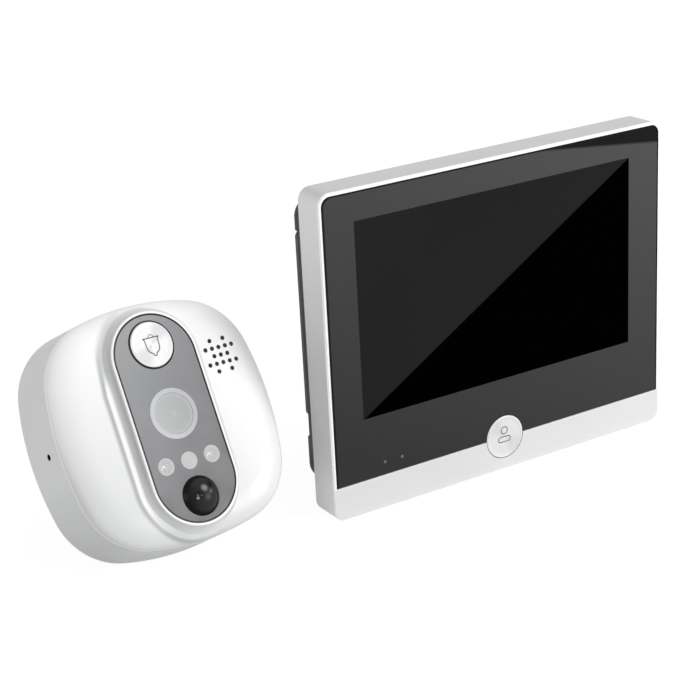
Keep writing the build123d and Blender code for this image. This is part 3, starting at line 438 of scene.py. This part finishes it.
def border_glass():
    """Glass with its printed border: grey, with a painted reflection that makes it a little
    lighter towards the upper right, a painted dark reflection band along the right end of its
    top edge and painted shade along its edge, which shows at the left and the top."""
    s = Shader("border_glass", 0.08, specular=0.12)
    x = s.axis(monitor_place, 0)
    y = s.axis(monitor_place, 1)
    # Painted reflection: lighter towards the upper right.
    tone = s.plus(s.math("MULTIPLY", x, 0.0035), y, 0.009)
    tone = s.plus(tone, s.noise(40), 0.06)
    s.color(s.mix(s.rise(tone, -0.45, 0.55), rgb("2f2f2f"), rgb("4a4a4a")))
    # Painted dark reflection along the right end of the top edge.
    into = s.math("SUBTRACT", s.math("ADD", y, s.rise(x, 12.0, 57.0, 5.2)), 41.15)
    s.overlay(s.rise(into, -0.5, 0.5, soft=True), rgb("040405"))
    # Painted shade along the edge at the left and the top.
    painted_edge_shade = s.outline(monitor_place, -56.6, 57.3, -60.0, 41.0, 2.8)
    s.overlay(s.rise(painted_edge_shade, -0.4, -0.2, 0.9), rgb("0c0c0d"))
    s.roughness(9, 0.03)
    return s


def face_pane():
    """Grey pane of the door station, with a painted reflection that darkens it towards its lower
    right, and painted shade in the gaps at its edge and round the bell button.
    """
    s = plain("face_pane", "8f9092", rough=0.14, grain_mm=2.0, depth_mm=0.001, vary=0.02,
              patch_mm=18)
    x = s.axis(station_place, 0)
    y = s.axis(station_place, 1)
    # Painted reflection: lighter towards the upper left, darker towards the lower right.
    lit = s.plus(s.math("MULTIPLY", y, 0.6), x, -0.8)
    s.color(s.mix(s.rise(lit, -24.0, 24.0), rgb("6a6a6c"), rgb("a4a5a7")))
    # Painted shade in the gap at the pane's edge, and towards the lower end.
    s.overlay(s.rise(s.outline(station_place, *PANE), -0.22, -0.14), rgb("1c1c1d"))
    s.overlay(s.fall(y, -28.0, -14.0, 0.5), rgb("4c4c4e"))
    # Painted shade in the gap round the bell button.
    gap = s.around(station_place, -0.1, BELL_Y - 0.07)
    s.overlay(s.fall(gap, 6.54, 6.6), rgb("101011"))
    return s


def camera_ring():
    """Pale ring round the camera window, with painted shade towards the right."""
    s = plain("ring_pale", "cbccce", rough=0.2, grain_mm=1.0, depth_mm=0.001, vary=0.02,
              patch_mm=5)
    # Painted shade towards the right.
    s.overlay(s.rise(s.axis(station_place, 0), -4.0, 6.0), rgb("babbbd"))
    return s


def camera_window():
    """Window of the camera, with painted shade towards the right, a light spot in its middle and
    painted light along its edge.
    """
    s = plain("window_pale", "b6b7b8", rough=0.12, grain_mm=1.0, depth_mm=0.001, vary=0.02,
              patch_mm=5)
    x = s.axis(station_place, 0)
    # Painted shade towards the right.
    s.color(s.mix(s.rise(x, -5.0, 5.0), rgb("bfc0c1"), rgb("aeafb0")))
    away = s.around(station_place, 0.0, 0.0)
    s.overlay(s.fall(away, 0.3, 1.1, 0.5), rgb("c6c7c8"))
    # Painted light along the edge.
    s.overlay(s.rise(away, 4.2, 5.3, 0.6, soft=True), rgb("c2c3c5"))
    return s


def lamp_window(name, x):
    """A pale window over an infrared lamp, with a darker ring where the lamp's cup shows behind
    it and painted glints.
    """
    s = plain(name, "c4c5c6", rough=0.12, grain_mm=0.8, depth_mm=0.003, vary=0.04, patch_mm=1.2)
    cup = s.around(station_place, x, LAMP_Y)
    s.overlay(s.both(s.rise(cup, 0.7, 1.2), s.fall(cup, 1.2, 1.7, 0.5)), rgb("b2b3b4"))
    # Painted glints.
    for dx, dy, size, share in ((-1.4, -0.25, 0.3, 0.95),
                                (-0.6, 0.1, 0.34, 0.9),
                                (-1.0, 0.35, 0.5, 0.45)):
        glint = s.around(station_place, x + dx, LAMP_Y + dy)
        s.overlay(s.fall(glint, 0.4 * size, size, share, soft=True), rgb("ffffff"))
    return s


def sensor_dome():
    """Black dome of the motion sensor, with painted reflections: dark towards the left, light
    and dark spots, and a dark rim.
    """
    s = plain("dome_black", "2a2a2b", rough=0.24, grain_mm=1.4, depth_mm=0.004, vary=0.1,
              patch_mm=4, spread=0.03, specular=0.12)
    x = s.axis(station_place, 0)
    # Painted reflections: dark towards the left, then dark and light spots.
    s.overlay(s.fall(x, -4.2, -1.4, 0.85, soft=True), rgb("0a0a0b"))
    for dx, dy, size, share, tone in ((-1.7, 0.2, 1.7, 0.8, "0b0b0c"),
                                      (2.4, 2.0, 1.1, 0.9, "070708"),
                                      (0.25, 1.6, 1.3, 0.85, "8e8e8e"),
                                      (1.75, 0.3, 0.9, 0.7, "6a6a6a"),
                                      (-2.3, -0.5, 0.55, 0.85, "a8a8a8"),
                                      (-2.15, 0.2, 0.4, 0.6, "8c8c8c"),
                                      (-1.3, -0.1, 0.35, 0.8, "6c6c6c")):
        spot = s.around(station_place, dx, DOME_Y + dy)
        s.overlay(s.fall(spot, 0.2 * size, size, share, soft=True), rgb(tone))
    # Painted dark reflection along the dome's rim.
    away = s.around(station_place, 0.0, DOME_Y)
    s.overlay(s.rise(away, 3.9, 4.7, soft=True), rgb("010101"))
    return s


def board_green():
    """Circuit board with lighter traces."""
    s = Shader("board_green", 0.35, coat=0.3)
    cell = s.node("ShaderNodeTexVoronoi", feature="DISTANCE_TO_EDGE")
    cell.inputs["Scale"].default_value = 260
    s.link(s.coords, cell.inputs["Vector"])
    trace = s.rise(cell.outputs["Distance"], 0.03, 0.09)
    lacquer = s.mix(s.remap(s.noise(5), 0, 1), rgb("0f4a2a"), rgb("165a34"))
    s.color(s.mix(trace, rgb("2e7a4a"), lacquer))
    s.bump(trace, 0.02, 0.4)
    s.roughness(3, 0.08)
    return s


def threaded_tube():
    """Mounting tube with a fine thread of 1 mm pitch along it, past its neck."""
    s = brushed("tube_metal", "c6c7c9", 0.28, size_mm=0.2)
    along = s.axis(station_place, 2)
    thread = s.math("SINE", s.math("MULTIPLY", along, 2 * math.pi))
    thread = s.rise(thread, -1.0, 1.0)
    s.bump(s.both(thread, s.fall(along, -27.0, -26.0)), 0.25, 0.8)
    return s


def display_window():
    """The display's lit area: dark, with a painted reflection over its upper left half."""
    left, right, low, high = SCREEN
    s = Shader("display_window", 0.35, specular=0.0)
    x = s.axis(monitor_place, 0)
    y = s.axis(monitor_place, 1)
    slope = (high - low) / (right - left)
    diagonal = s.math("MULTIPLY", s.math("SUBTRACT", x, left), slope)
    over = s.math("SUBTRACT", s.math("SUBTRACT", y, low), diagonal)
    # Painted reflection over the upper left half.
    sheen = s.mix(s.remap(s.noise(60), 0, 1), rgb("232323"), rgb("262626"))
    s.color(s.mix(s.rise(over, -0.25, 0.25), (0.0003, 0.0003, 0.0003), sheen))
    return s


# Monitor, outside.
assign(silver_frame(), "monitor_front_frame")
assign(turned_button("view_button_pale", "e4e4e4", monitor_place, VIEW_Y, radius=6.4,
                     dark="d6d6d6", bright="f6f6f6", turn=90.0), "view_button")
assign(dark_housing(), "monitor_rear_housing")
assign(border_glass(), "monitor_glass")
assign(plain("bracket_black", "3d3d3f", rough=0.5, grain_mm=0.5, depth_mm=0.02, vary=0.06,
             patch_mm=15, speck=0.15), "wall_bracket")
assign(plain("light_guide", "68696b", rough=0.15, grain_mm=0.4, depth_mm=0.002, vary=0.08,
             patch_mm=1), "indicator_light_left", "indicator_light_right")

# Door station, outside.
assign(white_cover(), "station_front_cover")
assign(silver_base(), "station_rear_base")
assign(turned_button("bell_button_pale", "f6f6f6", station_place, BELL_Y, radius=6.1,
                     dark="dcdcdf", bright="fdfdfd", turn=-90.0), "bell_button")
assign(face_pane(), "face_panel")
assign(camera_ring(), "camera_trim_ring")
assign(camera_window(), "camera_window")
assign(lamp_window("lamp_window_left", -LAMP_X), "infrared_window_left")
assign(lamp_window("lamp_window_right", LAMP_X), "infrared_window_right")
assign(plain("sensor_window", "c2c3c4", rough=0.2, grain_mm=0.8, depth_mm=0.002, vary=0.02,
             patch_mm=2), "light_sensor_guide")
assign(sensor_dome(), "pir_dome")
assign(threaded_tube(), "mounting_tube")

# Inside the two units.
assign(plain("soft_rubber", "262627", rough=0.75, grain_mm=0.4, depth_mm=0.03, vary=0.08,
             patch_mm=8), "rear_gasket", "microphone_boot", "glass_adhesive")
assign(board_green(), "monitor_main_board", "button_board", "station_main_board")
assign(brushed("screw_steel", "a8a8a6", 0.3), "housing_screws", "board_screws",
       "station_screws", "processor_shield", "usb_port", "card_slot", "pir_sensor",
       "monitor_microphone", "station_microphone")
assign(brushed("tray_metal", "bdbdbd", 0.35), "lcd_chassis")
assign(plain("battery_foil", "9fa2a6", rough=0.3, grain_mm=1.6, depth_mm=0.04, vary=0.06,
             patch_mm=9, metallic=0.9), "battery_pack")
black = plain("inner_black", "1c1c1d", rough=0.5, grain_mm=0.3, depth_mm=0.015, vary=0.1,
              patch_mm=4)
assign(black, "view_switch_plunger", "view_switch_body", "bell_switch_plunger",
       "bell_switch_body", "power_switch_body", "power_switch_slider", "monitor_speaker",
       "camera_module", "camera_lens_barrel", "light_sensor")
assign(plain("speaker_gauze", "d8d8da", rough=0.7, grain_mm=0.3, depth_mm=0.02, vary=0.12,
             patch_mm=1.0), "station_speaker")
assign(plain("socket_cream", "dcd6c4", rough=0.5, grain_mm=0.3, depth_mm=0.01, vary=0.04,
             patch_mm=3), "ribbon_socket")
assign(plain("display_layer", "0a0a0b", rough=0.12, grain_mm=1.0, depth_mm=0.0, vary=0.1,
             patch_mm=20), "lcd_panel")
assign(plain("lens_coated", "1b2440", rough=0.05, grain_mm=1.0, depth_mm=0.0, vary=0.3,
             patch_mm=3, coat=1.0), "camera_lens")
assign(plain("lamp_resin", "4a4452", rough=0.1, grain_mm=0.6, depth_mm=0.002, vary=0.1,
             patch_mm=1.5), "infrared_led_left", "infrared_led_right")


def make_object(name, bm, material, body, place):
    """A mesh object whose vertices are written in a unit's own frame, in millimetres."""
    mesh = bpy.data.meshes.new(name)
    bmesh.ops.recalc_face_normals(bm, faces=bm.faces)
    bm.to_mesh(mesh)
    bm.free()
    mesh.transform(place @ Matrix.Scale(MM, 4))
    obj = bpy.data.objects.new(name, mesh)
    bpy.context.scene.collection.objects.link(obj)
    mesh.materials.append(material.mat)
    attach(obj, body)


def sweep_line(bm, points, width, low, high, closed=True):
    """A thin raised line along the points, between two heights above a unit's face."""
    count = len(points)
    made = []
    for i, (x, y) in enumerate(points):
        if closed:
            p, q = points[i - 1], points[(i + 1) % count]
        else:
            p, q = points[max(0, i - 1)], points[min(count - 1, i + 1)]
        tx, ty = q[0] - p[0], q[1] - p[1]
        size = math.hypot(tx, ty)
        nx, ny = -ty / size * width / 2, tx / size * width / 2
        made.append([bm.verts.new(v) for v in ((x + nx, y + ny, low), (x + nx, y + ny, high),
                                               (x - nx, y - ny, high), (x - nx, y - ny, low))])
    for i in range(count if closed else count - 1):
        a, b = made[i], made[(i + 1) % count]
        for k in range(4):
            bm.faces.new((a[k], a[(k + 1) % 4], b[(k + 1) % 4], b[k]))
    if not closed:
        bm.faces.new(made[0])
        bm.faces.new(list(reversed(made[-1])))


def plate(bm, corners, low, high):
    """A flat plate with these corners between two heights above a unit's face."""
    under = [bm.verts.new((x, y, low)) for x, y in corners]
    over = [bm.verts.new((x, y, high)) for x, y in corners]
    bm.faces.new(over)
    bm.faces.new(list(reversed(under)))
    for i in range(len(corners)):
        k = (i + 1) % len(corners)
        bm.faces.new((under[i], under[k], over[k], over[i]))


def arc(cx, cy, r, start, end, steps):
    """Points on an arc, angles in degrees, anticlockwise from +x."""
    turns = [math.radians(start + (end - start) * i / steps) for i in range(steps + 1)]
    return [(cx + r * math.cos(t), cy + r * math.sin(t)) for t in turns]


def bend(p, q, r, steps):
    """Points on a curve from p to r that is pulled towards q, without its last point."""
    out = []
    for i in range(steps):
        t = i / steps
        a, b, c = (1 - t) ** 2, 2 * t * (1 - t), t * t
        out.append((a * p[0] + b * q[0] + c * r[0], a * p[1] + b * q[1] + c * r[1]))
    return out


def person_icon():
    """A head ring over a rounded bar, on the monitor's button."""
    x, stroke, low, high = -0.2, 0.26, VIEW_FACE - 0.01, VIEW_FACE + 0.012
    half, r, bar_y = 1.3, 0.78, VIEW_Y - 0.7
    bm = bmesh.new()
    sweep_line(bm, arc(x, VIEW_Y + 2.0, 1.08, 0, 350, 35), stroke, low, high)
    bar = arc(half + x, bar_y, r, -90, 90, 16) + arc(-half + x, bar_y, r, 90, 270, 16)
    sweep_line(bm, bar, stroke, low, high)
    return bm


def bell_side(side):
    """One side of the bell, from the corner of its mouth down to its knob."""
    corner, waist = (2.4 * side, 1.78), (1.9 * side, 1.1)
    hip, shoulder = (1.86 * side, -0.7), (0.6 * side, -2.42)
    return (bend(corner, (1.95 * side, 1.65), waist, 5) + bend(waist, (1.9 * side, 0.4), hip, 6)
            + bend(hip, (1.72 * side, -1.95), shoulder, 8) + [shoulder])


def bell_icon():
    """A bell that stands on its crown on the station's button: mouth above, knob below."""
    x, low, high = 0.15, BELL_FACE - 0.01, BELL_FACE + 0.01
    knob = arc(0.0, -2.6, 0.5, 15, -195, 12)
    bell = bell_side(1.0) + knob + list(reversed(bell_side(-1.0)))
    bm = bmesh.new()
    sweep_line(bm, [(x + px, BELL_Y + py) for px, py in bell], 0.28, low, high)
    loop = arc(x + 0.1, BELL_Y + 1.86, 0.72, 0, 180, 14)
    sweep_line(bm, loop, 0.2, low, high, closed=False)
    return bm


def crosses(middles, head):
    """Cross recesses of screws, as thin plates in the faces of their heads that carry painted
    shade.
    """
    w, a = 0.25, 1.25
    corners = [(w, w), (w, a), (-w, a), (-w, w), (-a, w), (-a, -w),
               (-w, -w), (-w, -a), (w, -a), (w, -w), (a, -w), (a, w)]
    bm = bmesh.new()
    for x, y in middles:
        plate(bm, [(x + dx, y + dy) for dx, dy in corners], head - 0.02, head + 0.01)
    return bm


ink = plain("icon_ink", "2c2c2e", rough=0.5, grain_mm=0.2, depth_mm=0.002, vary=0.06, patch_mm=1)
make_object("person_icon", person_icon(), ink, "view_button_body", monitor_place)
make_object("bell_icon", bell_icon(), ink, "bell_button_body", station_place)
# Thin black plates paint the shade in the screws' cross recesses.
make_object("housing_screw_crosses", crosses(HOUSING_SCREWS, HOUSING_SCREW_HEAD), black,
            "housings", monitor_place)
station_screws = [(i * STATION_SCREW_OFF, j * STATION_SCREW_OFF - STATION_SCREW_DOWN)
                  for i in (-1, 1) for j in (-1, 1)]
make_object("station_screw_crosses", crosses(station_screws, STATION_SCREW_HEAD), black,
            "housings", station_place)

# A thin sheet behind the glass stands for the display's lit area, dark with a painted
# reflection.
left, right, low, high = SCREEN
sheet = bmesh.new()
plate(sheet, [(left, low), (right, low), (right, high), (left, high)], -0.03, 0.015)
make_object("display_with_painted_reflection", sheet, display_window(), "housings", monitor_place)


def seen_directly(tree):
    """1 for the camera's rays and for what is mirrored or seen through, 0 for the light's."""
    path = tree.nodes.new("ShaderNodeLightPath")
    seen = path.outputs["Is Camera Ray"]
    for kind in ("Is Glossy Ray", "Is Transmission Ray"):
        larger = tree.nodes.new("ShaderNodeMath")
        larger.operation = "MAXIMUM"
        tree.links.new(seen, larger.inputs[0])
        tree.links.new(path.outputs[kind], larger.inputs[1])
        seen = larger.outputs["Value"]
    return seen


def plane(name, corners, material):
    """A flat sheet that belongs to the studio."""
    mesh = bpy.data.meshes.new(name)
    mesh.from_pydata(corners, [], [(0, 1, 2, 3)])
    obj = bpy.data.objects.new(name, mesh)
    bpy.context.scene.collection.objects.link(obj)
    mesh.materials.append(material)


# A white floor that keeps a faint shadow and shows white in what mirrors it.
floor = Shader("floor_white", 0.9, specular=0.0)
floor.color(floor.mix(floor.noise(300), (0.93, 0.93, 0.93), (0.95, 0.95, 0.95)))
glow = floor.node("ShaderNodeEmission")
glow.inputs["Color"].default_value = (1, 1, 1, 1)
glow.inputs["Strength"].default_value = 1.14
either = floor.node("ShaderNodeMixShader")
floor.link(floor.math("MULTIPLY", seen_directly(floor.tree), 0.8), either.inputs["Fac"])
floor.link(floor.bsdf.outputs["BSDF"], either.inputs[1])
floor.link(glow.outputs["Emission"], either.inputs[2])
out = [n for n in floor.tree.nodes if n.type == "OUTPUT_MATERIAL"][0]
floor.link(either.outputs["Shader"], out.inputs["Surface"])
span = 3.0
plane("floor", [(-span, -span, 0), (span, -span, 0), (span, span, 0), (-span, span, 0)],
      floor.mat)

# A white world that lights the object at half strength.
world = bpy.data.worlds.new("studio")
bpy.context.scene.world = world
world.use_nodes = True
sky = world.node_tree
light = sky.nodes["Background"]
backdrop = sky.nodes.new("ShaderNodeBackground")
for background, strength in ((light, 0.5), (backdrop, 1.0)):
    background.inputs["Color"].default_value = (1, 1, 1, 1)
    background.inputs["Strength"].default_value = strength
mixer = sky.nodes.new("ShaderNodeMixShader")
sky.links.new(seen_directly(sky), mixer.inputs["Fac"])
sky.links.new(light.outputs["Background"], mixer.inputs[1])
sky.links.new(backdrop.outputs["Background"], mixer.inputs[2])
sky.links.new(mixer.outputs["Shader"], sky.nodes["World Output"].inputs["Surface"])


def area(name, place, size, power):
    """A soft rectangular lamp that points at the middle of the two units."""
    data = bpy.data.lights.new(name, "AREA")
    data.shape = "RECTANGLE"
    data.size, data.size_y = size
    data.energy = power
    obj = bpy.data.objects.new(name, data)
    bpy.context.scene.collection.objects.link(obj)
    obj.location = place
    middle = Vector((-0.03, 0, 0.045))
    obj.rotation_euler = (middle - Vector(place)).to_track_quat("-Z", "Y").to_euler()


area("key", (0.6, -0.8, 0.25), (0.5, 0.5), 5.2)
area("high", (0.5, -0.5, 0.9), (0.5, 0.5), 1.7)
area("side", (-0.9, -0.15, 0.35), (0.4, 0.5), 1.0)

# The photograph's camera, as it was fitted to the monitor's edges.
focal_px, picture_px, sensor_mm = 1825, 680, 36
cam_data = bpy.data.cameras.new("camera")
cam_data.lens = focal_px / picture_px * sensor_mm
cam_data.sensor_width = sensor_mm
cam_data.clip_start = 0.01
cam = bpy.data.objects.new("camera", cam_data)
bpy.context.scene.collection.objects.link(cam)
cam.location = (-0.288832, glass_y - 0.388345, 0.220339)
cam.rotation_euler = [math.radians(v) for v in (69.698127, 2.955823, -32.316084)]
bpy.context.scene.camera = cam
bpy.context.scene.view_settings.view_transform = "Standard"
